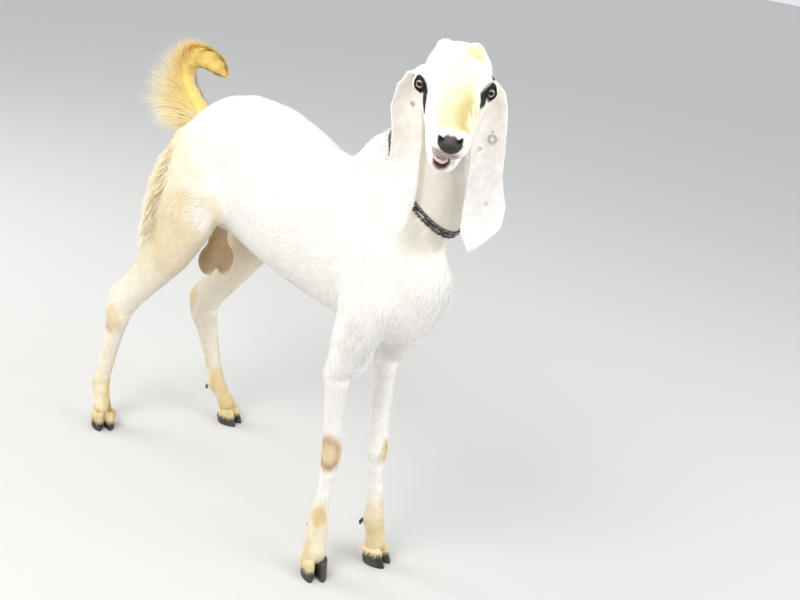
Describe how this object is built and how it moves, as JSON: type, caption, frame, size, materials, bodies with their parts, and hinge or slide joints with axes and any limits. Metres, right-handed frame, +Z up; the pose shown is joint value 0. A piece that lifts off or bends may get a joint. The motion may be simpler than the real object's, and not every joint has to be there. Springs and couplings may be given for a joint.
{
  "type": "young goat figure",
  "caption": "Still of a young white buck goat with long hanging ears and a raised golden tail, standing with its head turned to its right, in a narrow dark collar.",
  "frame": {"origin": "middle of the bottom of the box round the whole goat, on the floor", "axes": "+X the way the goat's trunk faces, +Y its left, +Z up"},
  "size_m": [0.8934, 0.288, 0.9179],
  "materials": {
    "coat_white": "short matte hair",
    "coat_cream": "short matte hair, stained cream",
    "coat_gold": "long silky hair",
    "skin_bare": "thinly haired skin",
    "skin_pink": "moist",
    "eye": "wet gloss",
    "horn": "dull ridged horn",
    "strap": "dark strap with a pale edge",
    "steel": "dulled"
  },
  "bodies": {
    "root": {"trunk": "coat_white", "neck": "coat_white", "head": "coat_white", "ear_left": "coat_white", "ear_right": "coat_white", "tail": "coat_gold", "foreleg_left": "coat_white", "foreleg_right": "coat_white", "hindleg_left": "coat_cream", "hindleg_right": "coat_cream", "scrotum": "skin_bare", "tongue": "skin_pink", "eye_left": "eye", "eye_right": "eye", "claw_fore_left_outer": "horn", "claw_fore_left_inner": "horn", "claw_fore_right_outer": "horn", "claw_fore_right_inner": "horn", "claw_hind_left_outer": "horn", "claw_hind_left_inner": "horn", "claw_hind_right_outer": "horn", "claw_hind_right_inner": "horn", "dewclaw_fore_left_outer": "horn", "dewclaw_fore_left_inner": "horn", "dewclaw_fore_right_outer": "horn", "dewclaw_fore_right_inner": "horn", "dewclaw_hind_left_outer": "horn", "dewclaw_hind_left_inner": "horn", "dewclaw_hind_right_outer": "horn", "dewclaw_hind_right_inner": "horn", "collar": "strap", "collar_keeper": "strap", "collar_buckle": "steel", "collar_ring": "steel"}
  },
  "joints": []
}
